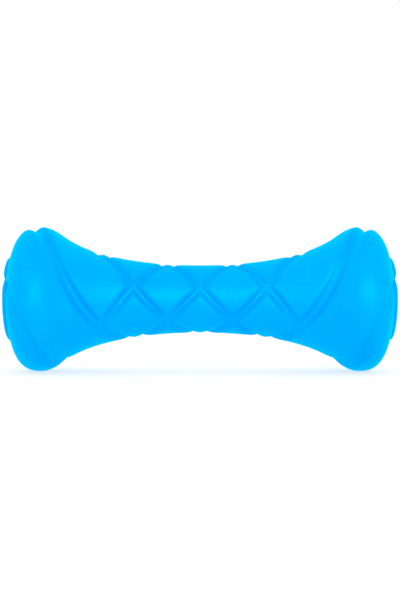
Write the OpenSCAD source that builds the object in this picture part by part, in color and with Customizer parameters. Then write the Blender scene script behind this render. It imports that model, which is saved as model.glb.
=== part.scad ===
// Chew toy: a dumbbell moulded in one piece from foamed rubber. It lies along X, with
// its origin at the middle of its axis. All sizes are in millimetres.

/* [Overall] */
// Length over the two end bosses
length = 191; // [170:1:240]

/* [Grip] */
// Diameter over the pads at the middle of the grip
grip_d = 33.7; // [28:0.1:40]

/* [Bulbs] */
// Diameter at the crest of each bulb
bulb_d = 72; // [62:0.5:84]
// Distance from the end face back to the crest of the bulb
crest_in = 16; // [13:0.5:20]

/* [End bosses] */
// Diameter of the round boss on each end
boss_d = 42; // [34:0.5:48]
// How far the boss stands out of the bulb
boss_h = 1.9; // [1:0.1:3]
// Radius of the boss's rounded edge
boss_edge = 1.5; // [0.6:0.1:2.5]

/* [Grooves] */
// Grooves of each hand
starts = 3; // [2:1:3]
// Length in which a groove turns once round the toy
pitch = 96; // [80:1:110]
// Width of a groove, as an angle seen along the axis
groove_angle = 38.8; // [26:0.2:46]
// Depth of the grooves on the grip
grip_depth = 2.3; // [1:0.1:3]
// Depth of the grooves at the crest of a bulb
bulb_depth = 2.9; // [1:0.1:4]
// Depth of the grooves where they notch the edge of a boss, along the axis
boss_depth = 1.9; // [0.5:0.05:2.4]
// Angle about the axis of the crossing at the middle of the toy
first_crossing = 19; // [0:1:90]

/* [Hidden] */

bulb_r = bulb_d / 2;
grip_r = grip_d / 2;
boss_r = boss_d / 2;
half_length = length / 2;
crest_x = half_length - crest_in;
root_x = half_length - boss_h;
turn_rate = 360 / pitch;
sector = 360 / starts;

// Outline from the middle of the grip to the crest, as two Bezier curves: shares of the
// way along to the crest, and of the rise from the grip to the crest.
grip_curve_shares = [[0, 0], [0.4, 0], [0.682, 0.293], [0.82, 0.657]];
flare_curve_shares = [[0.82, 0.657], [0.881, 0.818], [0.924, 1], [1, 1]];
// Outline from the crest to the foot of the boss: shares of the way along, and of the drop.
bulb_end_shares = [[0, 0], [0.638, 0], [0.832, 0.38], [1, 1]];

// Each groove is drawn with these lines across it, as shares of half its width, and each
// pad between two grooves with pad_lines more.
groove_line_shares = [-1, -0.72, -0.44, -0.16, 0.16, 0.4, 0.62, 0.84, 1];
pad_lines = 5;
// Shares of half a groove's width: half its flat floor, how far the floor leans towards the
// upper wall, where the upper wall ends on the bulb and where the lower one ends on the boss
grip_floor_share = 0.16;
bulb_floor_share = 0.25;
boss_floor_share = 0.02;
bulb_lean_share = 0.28;
boss_lean_share = 0.94;
bulb_upper_edge_share = 0.84;
boss_lower_edge_share = -0.6;
// Share of a wall's width over which it rounds over into the pad
round_share = 0.5;
// Angle that the grooves swing back just past the crest, and the share of the bulb's end
// over which they do it
end_twist = -3.4;
end_twist_share = 0.45;
// Angle that they swing on across the side of the boss
boss_twist = 6;
// Share of their depth on the boss that they have at its foot
foot_depth_share = 0.42;

groove_lines = len(groove_line_shares);
lines_per_start = groove_lines + pad_lines;
lines = starts * lines_per_start;
step_angle = sector / lines_per_start;

// Rings of the crossed net on the grip, each side of the middle. The grooves of one hand
// end a full turn of the net away, and the net goes on past that by these rings.
net_overrun_rings = 4;
net_rings = lines + net_overrun_rings;
net_end_x = net_rings * step_angle / (2 * turn_rate);

// Places of the rings beyond the net: shares of the way from its end to the crest, of the
// curve from the crest to the foot of the boss, of the boss's rounded edge, and of the
// boss's flat face, from its edge inwards.
flare_ring_shares = [0.07, 0.15, 0.24, 0.34, 0.45, 0.56, 0.67, 0.78, 0.88, 0.965, 1];
bulb_ring_shares = [0.13, 0.26, 0.39, 0.5, 0.6, 0.7, 0.79, 0.88, 0.95, 1];
edge_ring_shares = [0.3, 0.65, 1];
face_ring_shares = [0.86, 0.7, 0.52];
// Over the first of the flare rings the net's slanting rings turn square to the axis.
square_rings = 6;

function mix(a, b, share) = a + (b - a) * share;
function ease(share) = share * share * (3 - 2 * share);
function clamp(v) = min(1, max(0, v));
function wrap(i, n) = i - n * floor(i / n);

function bezier(c, t) = pow(1 - t, 3) * c[0] + 3 * pow(1 - t, 2) * t * c[1]
    + 3 * (1 - t) * t * t * c[2] + t * t * t * c[3];
function bezier_slope(c, t) = 3 * pow(1 - t, 2) * (c[1] - c[0])
    + 6 * (1 - t) * t * (c[2] - c[1]) + 3 * t * t * (c[3] - c[2]);

// Curves of the outline in millimetres, as [distance along the axis, radius]
grip_curve = [for (p = grip_curve_shares) [p.x * crest_x, mix(grip_r, bulb_r, p.y)]];
flare_curve = [for (p = flare_curve_shares) [p.x * crest_x, mix(grip_r, bulb_r, p.y)]];
bulb_end_curve = [for (p = bulb_end_shares)
    [mix(crest_x, root_x, p.x), mix(bulb_r, boss_r, p.y)]];

curve_steps = 32;
side_curves = concat([for (k = [0:curve_steps - 1]) [grip_curve, k / curve_steps]],
    [for (k = [0:curve_steps]) [flare_curve, k / curve_steps]]);
radius_table = [for (s = side_curves) bezier(s[0], s[1])];
slope_table = [for (s = side_curves) let (d = bezier_slope(s[0], s[1]))
    [bezier(s[0], s[1]).x, d.y / d.x]];

// A place on the outline is [along, radius, and the way out of a groove along and across],
// which is the outward normal up to the foot of the boss.
function place(p, n) = [p.x, p.y, n.x / norm(n), n.y / norm(n)];
function side_place(x) = let (s = lookup(x, slope_table))
    place([x, lookup(x, radius_table)], [-s, 1]);
function bulb_end_place(t) = let (d = bezier_slope(bulb_end_curve, t))
    place(bezier(bulb_end_curve, t), [-d.y, d.x]);
// On the boss the way out of a groove is along the axis.
function edge_place(t) = place([root_x + boss_h * sin(90 * t),
    boss_r - boss_edge * (1 - cos(90 * t))], [1, 0]);
function face_place(share) = place([half_length, (boss_r - boss_edge) * share], [1, 0]);

bulb_places = [for (t = bulb_ring_shares) bulb_end_place(t)];
end_places = concat(bulb_places, [for (t = edge_ring_shares) edge_place(t)],
    [for (s = face_ring_shares) face_place(s)]);
flare_rings = len(flare_ring_shares);
end_rings = flare_rings + len(end_places);
rings_each_side = net_rings + end_rings;

// Angle of line i from the middle line of groove 0. The lines bunch at the grooves.
half_angle = groove_angle / 2;
pad_step = (sector - groove_angle) / (pad_lines + 1);
function line_angle(i) = let (k = wrap(i, lines_per_start))
    floor(i / lines_per_start) * sector + (k < groove_lines ? half_angle * groove_line_shares[k]
    : half_angle + pad_step * (k - groove_lines + 1));
function line_share(i) = let (k = wrap(i, lines_per_start))
    k < groove_lines ? groove_line_shares[k] : 1;
middle_line = len([for (share = groove_line_shares) if (share < 0) share]);

// Distance along the axis where the right-hand line i meets the left-hand line i - n
function net_x(i, n) = (line_angle(i) - line_angle(i - n)) / (2 * turn_rate);
function flare_x(i, n) = let (m = abs(n) - net_rings,
    x = mix(net_end_x, crest_x, flare_ring_shares[m - 1]),
    slant = abs(net_x(i, n)) - abs(n) * step_angle / (2 * turn_rate))
    x + slant * (1 - ease(clamp(m / square_rings)));
function place_of(i, n) = abs(n) <= net_rings ? side_place(abs(net_x(i, n)))
    : abs(n) <= net_rings + flare_rings ? side_place(flare_x(i, n))
    : end_places[abs(n) - net_rings - flare_rings - 1];

// How far a place lies up the flare, and over the bulb's end: 0 up to the crest and 1 at
// the boss
function risen(p) = clamp((p.y - grip_r) / (bulb_r - grip_r));
function over_end(p) = p.x <= crest_x ? 0 : clamp((bulb_r - p.y) / (bulb_r - boss_r));
// The floor leans to the upper wall on the bulb, and leans on to the edge of the boss. The
// lines across a groove move with it there.
function over_lean(p) = pow(over_end(p), 2);
function lean_at(p) = p.x <= crest_x ? bulb_lean_share * risen(p)
    : mix(bulb_lean_share, boss_lean_share, over_lean(p));
function upper_edge_at(p) = p.x <= crest_x ? mix(1, bulb_upper_edge_share, risen(p))
    : mix(bulb_upper_edge_share, 1, over_lean(p));
function lower_edge_at(p) = mix(-1, boss_lower_edge_share, over_lean(p));
function floor_at(p) = p.x <= crest_x ? mix(grip_floor_share, bulb_floor_share, risen(p))
    : mix(bulb_floor_share, boss_floor_share, over_end(p));
function shift_at(i, p) = (1 - abs(line_share(i))) * boss_lean_share * over_lean(p);

// Depth of a groove across its width, q, with a flat floor between two walls. Each wall
// rounds over into its pad and runs straight down to a sharp foot, but the lower wall turns
// into an even S on the flare and the bulb, and into a hollow on the boss.
function sharp_wall(down) = let (rounded = min(down, round_share))
    (rounded * rounded / round_share + 2 * (down - rounded)) / (2 - round_share);
function soft_wall(down) = (1 - cos(180 * down)) / 2;
function hollow_wall(down) = down * down;
function upper_wall(q, foot, edge) = sharp_wall(clamp((edge - q) / (edge - foot)));
function lower_wall(q, foot, edge, p) = let (down = clamp((q - edge) / (foot - edge)))
    mix(mix(sharp_wall(down), soft_wall(down), risen(p)), hollow_wall(down), over_lean(p));
function section(q, p) = q > lean_at(p)
    ? upper_wall(q, lean_at(p) + floor_at(p), upper_edge_at(p))
    : lower_wall(q, lean_at(p) - floor_at(p), lower_edge_at(p), p);

face_end_r = (boss_r - boss_edge) * min(face_ring_shares);
function face_fade(p) = p[2] < 1 ? 1
    : ease(clamp((p.y - face_end_r) / (boss_r - boss_edge - face_end_r)));
function up_boss(p) = clamp((p.x - root_x) / boss_h);
function depth_at(p) = mix(mix(grip_depth, bulb_depth, risen(p)),
    boss_depth * mix(foot_depth_share, 1, up_boss(p)), ease(over_end(p))) * face_fade(p);
function twist_at(p) = boss_twist * ease(up_boss(p)) + end_twist
    * ease(clamp((p.x - crest_x) / (end_twist_share * (root_x - crest_x))));

// The grooves of each hand stop at the middle of the groove that they meet a full turn of
// the net away. Line i is of one hand, and line j of the other.
function runs(i, j) = j > (floor(i / lines_per_start) - starts) * lines_per_start + middle_line - 1;
function cut(i, p) = section(line_share(i) + shift_at(i, p), p) * depth_at(p);
function groove_depth(i, n, p) = let (j = i - n)
    n < -net_rings ? cut(i, p) : n > net_rings ? cut(j, p)
    : max(runs(i, j) ? cut(i, p) : 0, runs(j, i) ? cut(j, p) : 0);

function point(i, n) = let (p = place_of(i, n), h = groove_depth(i, n, p), r = p.y - h * p[3],
    k = n < 0 ? i : i - n,
    a = first_crossing + line_angle(k) + half_angle * shift_at(k, p) + turn_rate * p.x + twist_at(p))
    [sign(n) * (p.x - h * p[2]), -r * cos(a), r * sin(a)];

points = [for (n = [-rings_each_side:rings_each_side], i = [0:lines - 1]) point(i, n)];
function at(i, n) = (n + rings_each_side) * lines + wrap(i, lines);

// A cell of the net lies between two lines of each hand, with its left corner at (i, n). It
// is split from side to side of the toy, or along it where the side tip of a pad runs that
// way, so that the mitres where the walls of two grooves meet stay sharp.
function wall_side(i) = let (k = wrap(i, lines_per_start) + 1)
    k < middle_line ? -1 : k > middle_line && k < groove_lines ? 1 : 0;
function split_along(i, n) = n >= -net_rings && n + 2 <= net_rings
    && wall_side(i) * wall_side(i - n - 1) < 0;

left_halves = [for (n = [-rings_each_side:rings_each_side - 1], i = [0:lines - 1])
    if (!split_along(i, n)) [at(i, n), at(i + 1, n + 1), at(i, n + 1)]];
right_halves = [for (n = [-rings_each_side:rings_each_side - 1], i = [0:lines - 1])
    if (!split_along(i, n - 1)) [at(i, n), at(i + 1, n), at(i + 1, n + 1)]];
upper_halves = [for (n = [-net_rings:net_rings - 2], i = [0:lines - 1])
    if (split_along(i, n)) [at(i, n), at(i + 1, n + 1), at(i + 1, n + 2)]];
lower_halves = [for (n = [-net_rings:net_rings - 2], i = [0:lines - 1])
    if (split_along(i, n)) [at(i, n), at(i + 1, n + 2), at(i, n + 1)]];
end_faces = [[for (i = [0:lines - 1]) at(i, rings_each_side)],
    [for (i = [0:lines - 1]) at(-i, -rings_each_side)]];

module body() {
    color("deepskyblue")
        polyhedron(points, concat(left_halves, right_halves, upper_halves, lower_halves,
            end_faces));
}

body();
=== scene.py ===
import math

import bpy
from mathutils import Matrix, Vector
from mathutils.geometry import interpolate_bezier


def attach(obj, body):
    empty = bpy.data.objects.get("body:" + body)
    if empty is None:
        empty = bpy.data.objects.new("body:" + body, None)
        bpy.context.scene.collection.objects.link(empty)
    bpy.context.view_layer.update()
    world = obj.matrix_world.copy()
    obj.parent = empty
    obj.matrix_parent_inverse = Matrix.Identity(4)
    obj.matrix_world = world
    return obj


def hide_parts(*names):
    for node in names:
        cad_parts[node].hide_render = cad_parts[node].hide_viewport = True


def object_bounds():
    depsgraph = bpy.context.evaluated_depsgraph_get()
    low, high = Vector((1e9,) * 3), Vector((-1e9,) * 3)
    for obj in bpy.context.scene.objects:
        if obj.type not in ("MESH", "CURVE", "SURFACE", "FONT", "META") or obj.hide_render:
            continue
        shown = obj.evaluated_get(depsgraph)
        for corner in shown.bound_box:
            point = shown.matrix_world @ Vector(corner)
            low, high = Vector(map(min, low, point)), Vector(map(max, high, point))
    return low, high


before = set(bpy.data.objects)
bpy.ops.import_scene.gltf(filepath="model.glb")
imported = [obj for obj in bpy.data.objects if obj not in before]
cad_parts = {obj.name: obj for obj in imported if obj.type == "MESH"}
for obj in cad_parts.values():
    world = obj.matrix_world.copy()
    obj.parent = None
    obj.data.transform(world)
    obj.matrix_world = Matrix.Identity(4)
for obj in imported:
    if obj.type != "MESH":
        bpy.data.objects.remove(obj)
cad_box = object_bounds()
scene = bpy.context.scene
scene.view_settings.view_transform = "Standard"

# Camera
# A long lens level with the toy's axis, square on to it. The toy fills the width of the
# picture, and its ends curve a little because the camera is only about half a metre away.
PICTURE_WIDTH = 400
SCALE = 0.0005                # metres to a pixel, at the toy's axis
CAMERA_DISTANCE = 1100        # pixels, at that scale
AXIS_ROW, MIDDLE_ROW = 299, 300
SENSOR_WIDTH = 36             # millimetres
NEAREST, FURTHEST = 0.01, 20
lens = bpy.data.cameras.new("camera")
lens.sensor_fit = "HORIZONTAL"
lens.sensor_width = SENSOR_WIDTH
lens.lens = SENSOR_WIDTH * CAMERA_DISTANCE / PICTURE_WIDTH
lens.clip_start = NEAREST
lens.clip_end = FURTHEST
camera = bpy.data.objects.new("camera", lens)
camera.location = (0, -CAMERA_DISTANCE * SCALE, (AXIS_ROW - MIDDLE_ROW) * SCALE)
camera.rotation_euler = (math.radians(90), 0, 0)
scene.collection.objects.link(camera)
scene.camera = camera

# Body
# The whole toy, one moulding of foamed rubber with no seam and nothing inside: a dumbbell
# with a low round boss on each end, and three grooves of each hand cut into it. The skin
# is azure and satin, as the mould leaves it, with a fine grain and the pinholes of pores.

# Half of its outline, from the middle of the grip over the flare, the bulb and the boss to
# the middle of the end face, drawn as the mould maker would, in Bezier curves.
BULB_R, GRIP_R, BOSS_R = 0.036, 0.01685, 0.021
CREST_IN, BOSS_H, BOSS_EDGE = 0.016, 0.0019, 0.0015
ROUND = 0.5523                # how far a handle reaches along a quarter round
CURVE_STEPS = 48
end_x = cad_box[1][0]
crest_x, foot_x = end_x - CREST_IN, end_x - BOSS_H
rise, drop = BULB_R - GRIP_R, BULB_R - BOSS_R
face_r = BOSS_R - BOSS_EDGE


def along_flare(along, up):
    return Vector((along * crest_x, 0, GRIP_R + up * rise))


def over_bulb(along, down):
    return Vector((crest_x + along * (foot_x - crest_x), 0, BULB_R - down * drop))


foot = over_bulb(1, 1)
face_edge = Vector((end_x, 0, face_r))
face_middle = Vector((end_x, 0, 0))
outline_points = [            # handle before, point, handle after
    (along_flare(-0.4, 0), along_flare(0, 0), along_flare(0.4, 0)),
    (along_flare(0.682, 0.293), along_flare(0.82, 0.657), along_flare(0.881, 0.818)),
    (along_flare(0.924, 1), along_flare(1, 1), over_bulb(0.638, 0)),
    (over_bulb(0.832, 0.38), foot, foot + Vector((BOSS_H * ROUND, 0, 0))),
    (face_edge + Vector((0, 0, BOSS_EDGE * ROUND)), face_edge,
     face_edge.lerp(face_middle, 1 / 3)),
    (face_edge.lerp(face_middle, 2 / 3), face_middle, face_middle - Vector((0, 0, BOSS_R / 3)))]
outline_curve = bpy.data.curves.new("outline", "CURVE")
outline_curve.dimensions = "3D"
outline_curve.resolution_u = CURVE_STEPS
spline = outline_curve.splines.new("BEZIER")
spline.bezier_points.add(len(outline_points) - 1)
for bezier, (before, point, after) in zip(spline.bezier_points, outline_points):
    bezier.handle_left_type = bezier.handle_right_type = "FREE"
    bezier.handle_left, bezier.co, bezier.handle_right = before, point, after
outline = bpy.data.objects.new("outline", outline_curve)
scene.collection.objects.link(outline)

# Its net: lines along the grooves, and rings across them. For some of the rings past the
# grip's net, counted from its end, ring_places says how far along the outline they lie.
PITCH, LINES, NET_RINGS, END_RINGS = 0.096, 144, 157, 84
CREASE = 0.00012              # from the boss's foot to the rings beside it
net_end_x = NET_RINGS * PITCH / (2 * LINES)
lengths = []
for (_, here, after), (before, there, _) in zip(outline_points, outline_points[1:]):
    steps = interpolate_bezier(here, after, before, there, CURVE_STEPS + 1)
    piece_length = sum((b - a).length for a, b in zip(steps, steps[1:]))
    lengths.append(piece_length + (lengths[-1] if lengths else 0))
_, crest_length, foot_length, edge_length, outline_length = lengths
ring_places = [(26, crest_length), (54, foot_length - CREASE), (55, foot_length),
               (56, foot_length + CREASE), (70, edge_length)]

# Its skin, faintly cloudy in colour. The rubber has no red in it, so its gloss is tinted.
AZURE_PALE, AZURE_DEEP = (0.0, 0.434, 1.0), (0.0, 0.404, 0.985)
# The pinholes are painted a deeper blue: painted shade in the pits, on top of their bump.
PINHOLE_SHADE_BLUE = (0.0, 0.36, 0.93)
GLOSS_TINT = (0.0, 1.0, 1.0, 1.0)
CLOUD_SIZE, GRAIN_SIZE, PINHOLE_SPACING = 0.022, 0.0009, 0.0016
PINHOLE_SHARE = 0.16          # half a pinhole's width, as a share of the spacing
PINHOLE_DEPTH, GRAIN_DEPTH = 0.00006, 0.00004
PINHOLE_BUMP, GRAIN_BUMP = 0.5, 0.35
CLOUD_SPAN, GRAIN_SPAN = (0.35, 0.65), (0.3, 0.7)    # of the noise, from one end to the other
SATIN = (0.36, 0.44)          # least and most roughness
skin = bpy.data.materials.new("foam_rubber")
skin.use_nodes = True
coats, wires = skin.node_tree.nodes, skin.node_tree.links
shader = coats["Principled BSDF"]
for name, value in (("Metallic", 0.4), ("Specular IOR Level", 0.0), ("Specular Tint", GLOSS_TINT),
                    ("Sheen Weight", 0.5), ("Sheen Roughness", 0.5), ("Sheen Tint", GLOSS_TINT)):
    shader.inputs[name].default_value = value
skin_place = coats.new("ShaderNodeTexCoord")


def skin_pattern(kind, size):
    pattern = coats.new(kind)
    pattern.inputs["Scale"].default_value = 1 / size
    wires.new(skin_place.outputs["Object"], pattern.inputs["Vector"])
    return pattern


def graded(source, span, to_span=(0, 1)):
    grade = coats.new("ShaderNodeMapRange")
    for name, value in zip(("From Min", "From Max", "To Min", "To Max"), (*span, *to_span)):
        grade.inputs[name].default_value = value
    wires.new(source, grade.inputs["Value"])
    return grade.outputs[0]


def blended(share, low, high):
    blend = coats.new("ShaderNodeMix")
    blend.data_type = "RGBA"
    wires.new(share, blend.inputs["Factor"])
    for socket, colour in ((blend.inputs["A"], low), (blend.inputs["B"], high)):
        if isinstance(colour, tuple):
            socket.default_value = (*colour, 1)
        else:
            wires.new(colour, socket)
    return blend.outputs["Result"]


def bumped(height, strength, deep):
    bump = coats.new("ShaderNodeBump")
    bump.inputs["Strength"].default_value = strength
    bump.inputs["Distance"].default_value = deep
    wires.new(height, bump.inputs["Height"])
    return bump


cloud = skin_pattern("ShaderNodeTexNoise", CLOUD_SIZE)
cloud.inputs["Detail"].default_value = 3
grain = skin_pattern("ShaderNodeTexNoise", GRAIN_SIZE)
grain.inputs["Detail"].default_value = 2
pinholes = skin_pattern("ShaderNodeTexVoronoi", PINHOLE_SPACING)
cloudy = blended(graded(cloud.outputs[0], CLOUD_SPAN), AZURE_DEEP, AZURE_PALE)
open_skin = graded(pinholes.outputs["Distance"], (PINHOLE_SHARE / 2, PINHOLE_SHARE))
# Inside each pinhole the base colour turns to the deeper blue, which is painted shade in the pit.
wires.new(blended(open_skin, PINHOLE_SHADE_BLUE, cloudy), shader.inputs["Base Color"])
wires.new(graded(grain.outputs[0], GRAIN_SPAN, SATIN), shader.inputs["Roughness"])
pitted = bumped(open_skin, PINHOLE_BUMP, PINHOLE_DEPTH)
grained = bumped(grain.outputs[0], GRAIN_BUMP, GRAIN_DEPTH)
wires.new(pitted.outputs[0], grained.inputs["Normal"])
wires.new(grained.outputs[0], shader.inputs["Normal"])

# Its mould, which winds the net round the outline and cuts the grooves. The net follows
# both hands of groove along the grip, and one hand of them over each bulb, so every wall
# and mitre lies along the mesh. Floors, leans and edges are shares of half a groove's width,
# and the depth has faded out at so large a share of the face's radius.
tree = bpy.data.node_groups.new("moulded toy", "GeometryNodeTree")
nodes, links = tree.nodes, tree.links
made_before = {"Outline": outline, "Skin": skin}
for name, kind in (("Outline", "NodeSocketObject"), ("Skin", "NodeSocketMaterial")):
    tree.interface.new_socket(name, in_out="INPUT", socket_type=kind)
for name, kind, value in (
        ("Grooves per hand", "NodeSocketInt", 3),
        ("Lines round", "NodeSocketInt", LINES),
        ("Net rings", "NodeSocketInt", NET_RINGS),
        ("End rings", "NodeSocketInt", END_RINGS),
        ("Grip radius", "NodeSocketFloat", GRIP_R),
        ("Bulb radius", "NodeSocketFloat", BULB_R),
        ("Boss radius", "NodeSocketFloat", BOSS_R),
        ("Face radius", "NodeSocketFloat", face_r),
        ("Crest", "NodeSocketFloat", crest_x),
        ("Foot of boss", "NodeSocketFloat", foot_x),
        ("Boss height", "NodeSocketFloat", BOSS_H),
        ("Pitch", "NodeSocketFloat", PITCH),
        ("Groove angle", "NodeSocketFloat", math.radians(38.8)),
        ("First crossing", "NodeSocketFloat", math.radians(19)),
        ("Depth on grip", "NodeSocketFloat", 0.0023),
        ("Depth on bulb", "NodeSocketFloat", 0.0029),
        ("Depth on foot", "NodeSocketFloat", 0.0008),
        ("Depth on boss", "NodeSocketFloat", 0.0019),
        ("Floor on grip", "NodeSocketFloat", 0.16),
        ("Floor on bulb", "NodeSocketFloat", 0.25),
        ("Floor on boss", "NodeSocketFloat", 0.02),
        ("Lean on bulb", "NodeSocketFloat", 0.28),
        ("Lean on boss", "NodeSocketFloat", 0.94),
        ("Upper edge on bulb", "NodeSocketFloat", 0.84),
        ("Lower edge on boss", "NodeSocketFloat", -0.6),
        ("Fade on face", "NodeSocketFloat", 0.52),
        ("Mitre", "NodeSocketFloat", 0.00015),
        ("Twist on end", "NodeSocketFloat", math.radians(-3.4)),
        ("Share of end twisted", "NodeSocketFloat", 0.45),
        ("Twist on boss", "NodeSocketFloat", math.radians(6)),
        ("Bunching", "NodeSocketFloat", 0.55)):
    socket = tree.interface.new_socket(name, in_out="INPUT", socket_type=kind)
    socket.default_value = value
tree.interface.new_socket("Geometry", in_out="OUTPUT", socket_type="NodeSocketGeometry")
group_in = nodes.new("NodeGroupInput").outputs
group_out = nodes.new("NodeGroupOutput")


def plug(socket, value):
    if isinstance(value, bpy.types.NodeSocket):
        links.new(value, socket)
    else:
        socket.default_value = value


def maths(operation, *values, clamp=False):
    node = nodes.new("ShaderNodeMath")
    node.operation = operation
    node.use_clamp = clamp
    for socket, value in zip(node.inputs, values):
        plug(socket, value)
    return node.outputs[0]


def add(a, b):
    return maths("ADD", a, b)


def sub(a, b):
    return maths("SUBTRACT", a, b)


def mul(a, b):
    return maths("MULTIPLY", a, b)


def div(a, b):
    return maths("DIVIDE", a, b)


def mix(a, b, share):
    return add(a, mul(sub(b, a), share))


def choose(test, when_true, when_false):
    return add(mul(test, when_true), mul(sub(1, test), when_false))


def ease(value):
    node = nodes.new("ShaderNodeMapRange")
    node.interpolation_type = "SMOOTHSTEP"
    plug(node.inputs["Value"], value)
    return node.outputs[0]


def parts_of(vector):
    node = nodes.new("ShaderNodeSeparateXYZ")
    links.new(vector, node.inputs[0])
    return node.outputs


# The grid of lines and rings, before it is wound round
lines = group_in["Lines round"]
net_rings = group_in["Net rings"]
turn = div(2 * math.pi, group_in["Pitch"])
sector = div(2 * math.pi, group_in["Grooves per hand"])
rings = add(net_rings, group_in["End rings"])
grid = nodes.new("GeometryNodeMeshGrid")
links.new(lines, grid.inputs["Size X"])
links.new(mul(rings, 2), grid.inputs["Size Y"])
links.new(add(lines, 1), grid.inputs["Vertices X"])
links.new(add(mul(rings, 2), 1), grid.inputs["Vertices Y"])
position = nodes.new("GeometryNodeInputPosition")
place = parts_of(position.outputs[0])
line = maths("ROUND", add(place[0], div(lines, 2)))
ring = maths("ROUND", place[1])
side = maths("SIGN", ring)
left = maths("LESS_THAN", ring, 0)
from_middle = maths("ABSOLUTE", ring)


def line_angle(number):
    even = div(mul(number, 2 * math.pi), lines)
    bunch = maths("SINE", mul(even, group_in["Grooves per hand"]))
    return sub(even, div(mul(bunch, group_in["Bunching"]), group_in["Grooves per hand"]))


own_angle = line_angle(line)
other_angle = line_angle(sub(line, ring))

# How far along the outline each point of the net lies. Past the grip the rings, which slant
# with the grooves there, turn square to the axis over the first third of their number.
SQUARE_RATE = 3
crossing_x = maths("ABSOLUTE", div(sub(own_angle, other_angle), mul(turn, 2)))
ring_x = div(mul(from_middle, group_in["Pitch"]), mul(lines, 2))
net_end = div(mul(net_rings, group_in["Pitch"]), mul(lines, 2))
past_net = div(sub(from_middle, net_rings), group_in["End rings"])
squared = ease(mul(past_net, SQUARE_RATE))
spacing = nodes.new("ShaderNodeFloatCurve")
links.new(maths("ADD", past_net, 0, clamp=True), spacing.inputs["Value"])
end_curve = spacing.mapping.curves[0]
for rings_out, reached in ring_places:
    end_curve.points.new(rings_out / END_RINGS,
                         (reached - net_end_x) / (outline_length - net_end_x))
for end_point in end_curve.points:
    end_point.handle_type = "VECTOR"
spacing.mapping.update()
outline_info = nodes.new("GeometryNodeObjectInfo")
links.new(group_in["Outline"], outline_info.inputs["Object"])
curve_length = nodes.new("GeometryNodeCurveLength")
links.new(outline_info.outputs["Geometry"], curve_length.inputs[0])
end_reach = mul(sub(curve_length.outputs[0], net_end), spacing.outputs[0])
on_net = maths("LESS_THAN", from_middle, add(net_rings, 0.5))
ring_length = choose(on_net, ring_x, add(net_end, end_reach))
slant = mul(sub(crossing_x, ring_x), sub(1, squared))
length = add(ring_length, slant)


def sample(so_far):
    node = nodes.new("GeometryNodeSampleCurve")
    node.mode = "LENGTH"
    node.use_all_curves = True
    links.new(outline_info.outputs["Geometry"], node.inputs["Curves"])
    plug(node.inputs["Length"], so_far)
    sampled = parts_of(node.outputs["Position"])
    return sampled[0], sampled[2]


# Place on the outline, and the way out of it, from the places a little ahead and behind
REACH = 0.0009
crest, boss_foot = group_in["Crest"], group_in["Foot of boss"]
bulb_radius, grip_radius = group_in["Bulb radius"], group_in["Grip radius"]
x, radius = sample(length)
ahead_x, ahead_r = sample(add(length, REACH))
behind_x, behind_r = sample(sub(length, REACH))
run, climb = sub(ahead_x, behind_x), sub(ahead_r, behind_r)
slope = maths("SQRT", add(mul(run, run), mul(climb, climb)))
normal_x, normal_r = div(mul(climb, -1), slope), div(run, slope)
risen = maths("DIVIDE", sub(radius, grip_radius), sub(bulb_radius, grip_radius), clamp=True)
past_crest = maths("GREATER_THAN", x, crest)
over_end = mul(past_crest, maths("DIVIDE", sub(bulb_radius, radius),
                                 sub(bulb_radius, group_in["Boss radius"]), clamp=True))
over_lean = mul(over_end, over_end)
up_boss = maths("DIVIDE", sub(x, boss_foot), group_in["Boss height"], clamp=True)

# Angle round the axis, and the angles at which the grooves of each hand are measured. Near
# the boss the lines lean over with the groove.
half_groove = div(group_in["Groove angle"], 2)
along_line = choose(left, own_angle, other_angle)
line_middle = mul(maths("ROUND", div(along_line, sector)), sector)
in_groove = maths("MAXIMUM", sub(half_groove, maths("ABSOLUTE", sub(along_line, line_middle))), 0)
drawn_over = mul(mul(group_in["Lean on boss"], over_lean), in_groove)
angle = add(add(along_line, drawn_over), mul(turn, x))
swing = mul(mul(side, turn), x)
first_hand, second_hand = add(angle, swing), sub(angle, swing)

# Depth of the grooves, which rises to the rim of the boss and fades over its flat face
faded_at = mul(group_in["Face radius"], group_in["Fade on face"])
fade = ease(div(sub(radius, faded_at), sub(group_in["Face radius"], faded_at)))
side_depth = mix(group_in["Depth on grip"], group_in["Depth on bulb"], risen)
end_depth = mix(group_in["Depth on foot"], group_in["Depth on boss"], up_boss)
depth = mul(mix(side_depth, end_depth, ease(over_end)), choose(past_crest, fade, 1))

# Section of a groove: a floor between two walls. Each wall rounds over into its pad and
# runs straight down to a sharp foot, but the lower wall turns into an even S on the bulb
# and into a hollow on the boss.
ROUNDED = 0.5                 # share of a wall that rounds over into the pad
lean = choose(past_crest, mix(group_in["Lean on bulb"], group_in["Lean on boss"], over_lean),
              mul(group_in["Lean on bulb"], risen))
floor_half = choose(
    past_crest, mix(group_in["Floor on bulb"], group_in["Floor on boss"], over_end),
    mix(group_in["Floor on grip"], group_in["Floor on bulb"], risen))
lower_edge = mix(-1, group_in["Lower edge on boss"], over_lean)
upper_edge = choose(past_crest, mix(group_in["Upper edge on bulb"], 1, over_lean),
                    mix(1, group_in["Upper edge on bulb"], risen))


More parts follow.
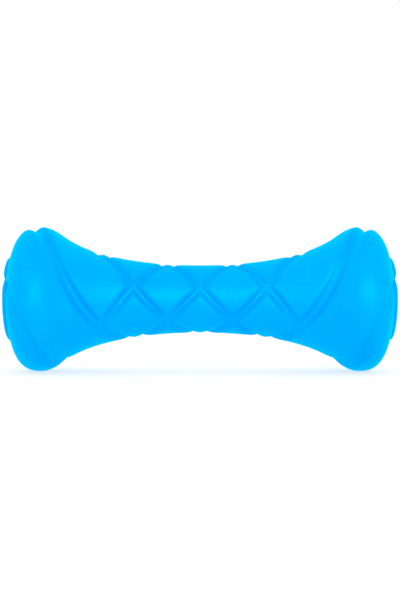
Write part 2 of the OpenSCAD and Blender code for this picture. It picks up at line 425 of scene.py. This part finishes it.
def groove(own, other):
    middle = mul(maths("ROUND", div(own, sector)), sector)
    across = div(sub(own, middle), half_groove)
    upper = div(sub(sub(across, lean), floor_half), sub(sub(upper_edge, lean), floor_half))
    lower = div(sub(sub(lean, floor_half), across), sub(sub(lean, floor_half), lower_edge))
    down_wall = sub(1, maths("ADD", maths("MAXIMUM", upper, lower), 0, clamp=True))
    rounded = maths("MINIMUM", down_wall, ROUNDED)
    sharp = div(add(mul(mul(rounded, rounded), 1 / ROUNDED), mul(sub(down_wall, rounded), 2)),
                2 - ROUNDED)
    soft = mul(sub(1, maths("COSINE", mul(down_wall, math.pi))), 0.5)
    hollow = maths("POWER", down_wall, 2)
    on_lower_wall = maths("LESS_THAN", across, lean)
    section = mix(mix(sharp, soft, mul(risen, on_lower_wall)), hollow,
                  mul(over_lean, on_lower_wall))
    runs = maths("GREATER_THAN", add(sub(other, middle), 2 * math.pi), 0)
    return mul(mul(section, runs), depth)


cut = maths("SMOOTH_MAX", groove(first_hand, second_hand), groove(second_hand, first_hand),
            group_in["Mitre"])

# The cut surface. A groove is cut at right angles to the outline, and on the boss along
# the axis. The grooves swing back just past the crest, and on again up the boss.
PAST_FOOT = 0.00005           # so that the ring at the foot is cut as the bulb is
WELD = 0.000001
on_boss = maths("GREATER_THAN", x, add(boss_foot, PAST_FOOT))
cut_x = sub(x, mul(cut, choose(on_boss, 1, normal_x)))
cut_radius = sub(radius, mul(cut, choose(on_boss, 0, normal_r)))
twist = ease(div(sub(x, crest), mul(sub(boss_foot, crest), group_in["Share of end twisted"])))
turned = add(add(add(angle, group_in["First crossing"]), mul(twist, group_in["Twist on end"])),
             mul(ease(up_boss), group_in["Twist on boss"]))
moved = nodes.new("ShaderNodeCombineXYZ")
links.new(mul(side, cut_x), moved.inputs[0])
links.new(mul(mul(cut_radius, -1), maths("COSINE", turned)), moved.inputs[1])
links.new(mul(cut_radius, maths("SINE", turned)), moved.inputs[2])
shaped = nodes.new("GeometryNodeSetPosition")
links.new(grid.outputs["Mesh"], shaped.inputs["Geometry"])
links.new(moved.outputs[0], shaped.inputs["Position"])
closed = nodes.new("GeometryNodeMergeByDistance")
closed.inputs["Distance"].default_value = WELD
links.new(shaped.outputs[0], closed.inputs["Geometry"])
split = nodes.new("GeometryNodeTriangulate")
links.new(closed.outputs[0], split.inputs[0])
smooth = nodes.new("GeometryNodeSetShadeSmooth")
links.new(split.outputs[0], smooth.inputs["Geometry"])
realized = nodes.new("GeometryNodeRealizeInstances")
links.new(smooth.outputs[0], realized.inputs["Geometry"])
coloured = nodes.new("GeometryNodeSetMaterial")
links.new(realized.outputs[0], coloured.inputs["Geometry"])
links.new(group_in["Skin"], coloured.inputs["Material"])
links.new(coloured.outputs[0], group_out.inputs["Geometry"])

blank = bpy.data.objects.new("blank", bpy.data.meshes.new("blank"))
scene.collection.objects.link(blank)
mould = blank.modifiers.new("mould", "NODES")
mould.node_group = tree
for item in tree.interface.items_tree:
    if item.in_out == "INPUT" and item.name in made_before:
        mould[item.identifier] = made_before[item.name]
bpy.context.view_layer.update()
moulding = blank.evaluated_get(bpy.context.evaluated_depsgraph_get())
body = bpy.data.objects.new("toy_body", bpy.data.meshes.new_from_object(moulding))
scene.collection.objects.link(body)
bpy.data.objects.remove(blank)
bpy.data.objects.remove(outline)
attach(body, "root")
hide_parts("body")

# Floor
# A plain pale floor under the two bulbs. It shows white to the camera and in gloss, and
# keeps the toy's soft shadow. It lights the toy as a white sweep, brighter behind the toy
# and before it than under it.
FLOOR_SIZE = 6
FLOOR_LIGHTS = ((-0.15, 1.2), (-0.04, 0.85), (0.1, 1.4))    # place behind the axis, strength
PAPER, PAPER_GLOW, PAPER_ROUGHNESS = 0.4, 0.6, 0.9
half = FLOOR_SIZE / 2
floor_z = cad_box[0][2]
corners = [(x_side * half, y_side * half, floor_z)
           for x_side, y_side in ((-1, -1), (1, -1), (1, 1), (-1, 1))]
floor_mesh = bpy.data.meshes.new("floor")
floor_mesh.from_pydata(corners, [], [(0, 1, 2, 3)])
floor = bpy.data.objects.new("floor", floor_mesh)
scene.collection.objects.link(floor)
paper = bpy.data.materials.new("floor_paper")
paper.use_nodes = True
sweep, joins = paper.node_tree.nodes, paper.node_tree.links
paper_shader = sweep["Principled BSDF"]
for name, value in (("Base Color", (PAPER, PAPER, PAPER, 1)), ("Roughness", PAPER_ROUGHNESS),
                    ("Emission Color", (1, 1, 1, 1)), ("Emission Strength", PAPER_GLOW)):
    paper_shader.inputs[name].default_value = value
floor_place = sweep.new("ShaderNodeTexCoord")
floor_axes = sweep.new("ShaderNodeSeparateXYZ")
joins.new(floor_place.outputs["Object"], floor_axes.inputs[0])
front, back = FLOOR_LIGHTS[0][0], FLOOR_LIGHTS[-1][0]
floor_reach = sweep.new("ShaderNodeMapRange")
floor_reach.inputs["From Min"].default_value = front
floor_reach.inputs["From Max"].default_value = back
joins.new(floor_axes.outputs["Y"], floor_reach.inputs["Value"])
floor_light = sweep.new("ShaderNodeValToRGB")
stops = floor_light.color_ramp.elements
stops.new((FLOOR_LIGHTS[1][0] - front) / (back - front))
for stop, (_, strength) in zip(stops, FLOOR_LIGHTS):
    stop.color = (strength, strength, strength, 1)
joins.new(floor_reach.outputs[0], floor_light.inputs["Fac"])
glow = sweep.new("ShaderNodeEmission")
joins.new(floor_light.outputs["Color"], glow.inputs["Color"])


def seen_as_background(surroundings):
    rays = surroundings.nodes.new("ShaderNodeLightPath")
    seen = rays.outputs["Is Camera Ray"]
    for kind in ("Is Transmission Ray", "Is Glossy Ray"):
        either = surroundings.nodes.new("ShaderNodeMath")
        either.operation = "MAXIMUM"
        surroundings.links.new(seen, either.inputs[0])
        surroundings.links.new(rays.outputs[kind], either.inputs[1])
        seen = either.outputs[0]
    return seen


floor_sight = sweep.new("ShaderNodeMixShader")
joins.new(seen_as_background(paper.node_tree), floor_sight.inputs["Fac"])
joins.new(glow.outputs[0], floor_sight.inputs[1])
joins.new(paper_shader.outputs[0], floor_sight.inputs[2])
joins.new(floor_sight.outputs[0], sweep["Material Output"].inputs["Surface"])
floor_mesh.materials.append(paper)

# Light
# A white room, and a wide soft lamp behind the camera, a little above it and to its right,
# which puts a broad highlight along the front of the toy.
ROOM_FRONT, ROOM_BACK = 0.8, 1.4    # strength of the room before and behind the toy
LAMP_DISTANCE, LAMP_RISE, LAMP_ASIDE = 0.8, 0.1, 0.1
LAMP_SIDE, LAMP_POWER = 0.7, 1.75
room = bpy.data.worlds.new("room")
scene.world = room
room.use_nodes = True
air, beams = room.node_tree.nodes, room.node_tree.links
surround = air["Background"]
surround.inputs["Color"].default_value = (1, 1, 1, 1)
bearing = air.new("ShaderNodeTexCoord")
axes = air.new("ShaderNodeSeparateXYZ")
beams.new(bearing.outputs["Generated"], axes.inputs[0])
front_to_back = air.new("ShaderNodeMapRange")
for name, value in (("From Min", -1), ("To Min", ROOM_FRONT), ("To Max", ROOM_BACK)):
    front_to_back.inputs[name].default_value = value
beams.new(axes.outputs["Y"], front_to_back.inputs["Value"])
beams.new(front_to_back.outputs[0], surround.inputs["Strength"])
backdrop = air.new("ShaderNodeBackground")
backdrop.inputs["Color"].default_value = (1, 1, 1, 1)
room_sight = air.new("ShaderNodeMixShader")
beams.new(seen_as_background(room.node_tree), room_sight.inputs["Fac"])
beams.new(surround.outputs[0], room_sight.inputs[1])
beams.new(backdrop.outputs[0], room_sight.inputs[2])
beams.new(room_sight.outputs[0], air["World Output"].inputs["Surface"])
lamp_data = bpy.data.lights.new("front_lamp", "AREA")
lamp_data.shape = "SQUARE"
lamp_data.size = LAMP_SIDE
lamp_data.energy = LAMP_POWER
lamp = bpy.data.objects.new("front_lamp", lamp_data)
lamp.location = (LAMP_ASIDE, -LAMP_DISTANCE, LAMP_RISE)
lamp.rotation_euler = (math.atan2(LAMP_DISTANCE, LAMP_RISE), 0,
                       math.atan2(LAMP_ASIDE, LAMP_DISTANCE))
scene.collection.objects.link(lamp)
